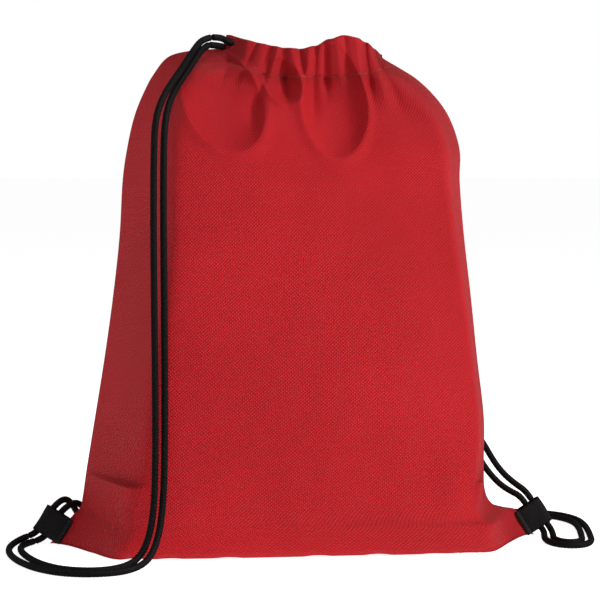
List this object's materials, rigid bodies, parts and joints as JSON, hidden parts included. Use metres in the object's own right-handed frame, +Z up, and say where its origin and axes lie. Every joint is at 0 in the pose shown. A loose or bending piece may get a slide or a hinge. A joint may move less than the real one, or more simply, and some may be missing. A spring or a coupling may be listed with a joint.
{
  "type": "drawstring backpack",
  "caption": "Stuffed drawstring backpack of red non-woven cloth, with doubled black cords as straps through corner loops.",
  "frame": {"origin": "on the ground under the middle of the bag's overall length and depth", "axes": "+X to the bag's left-to-right as seen from its front, front towards -Y, +Z up"},
  "size_m": [0.3907, 0.1964, 0.331],
  "materials": {
    "bag_cloth": "embossed non-woven, slight sheen",
    "red_thread": "matte thread",
    "black_webbing": "woven tape, matte",
    "black_thread": "matte thread",
    "black_cord": "braided polyester, slight sheen"
  },
  "bodies": {
    "bag": {"front_panel": "bag_cloth", "back_panel": "bag_cloth", "front_hem": "bag_cloth", "back_hem": "bag_cloth", "front_hem_stitching": "red_thread", "back_hem_stitching": "red_thread", "left_side_seam": "bag_cloth", "right_side_seam": "bag_cloth", "bottom_seam": "bag_cloth", "left_corner_tab": "black_webbing", "right_corner_tab": "black_webbing", "left_tab_bartack": "black_thread", "right_tab_bartack": "black_thread", "left_cord_front_tail": "black_cord", "left_cord_rear_tail": "black_cord", "right_cord_front_tail": "black_cord", "right_cord_rear_tail": "black_cord", "left_cord_channel_run": "black_cord", "right_cord_channel_run": "black_cord", "left_knot": "black_cord", "right_knot": "black_cord", "left_cord_tips": "black_cord", "right_cord_tips": "black_cord"},
    "left_strap": {"left_strap_front_strand": "black_cord", "left_strap_rear_strand": "black_cord"},
    "right_strap": {"right_strap_front_strand": "black_cord", "right_strap_rear_strand": "black_cord"}
  },
  "joints": [
    {"name": "left_strap_swing", "type": "hinge", "parent": "bag", "child": "left_strap", "pos_m": [-0.05425, -0.0117, 0.3259], "axis": [-0.3413, 0.0241, -0.9396], "range_deg": [0, 120], "deforming": ["left_strap_front_strand", "left_strap_rear_strand"]},
    {"name": "right_strap_swing", "type": "hinge", "parent": "bag", "child": "right_strap", "pos_m": [0.06865, 0.0121, 0.3174], "axis": [0.2895, -0.0391, -0.9564], "range_deg": [0, 120], "deforming": ["right_strap_front_strand", "right_strap_rear_strand"]}
  ]
}
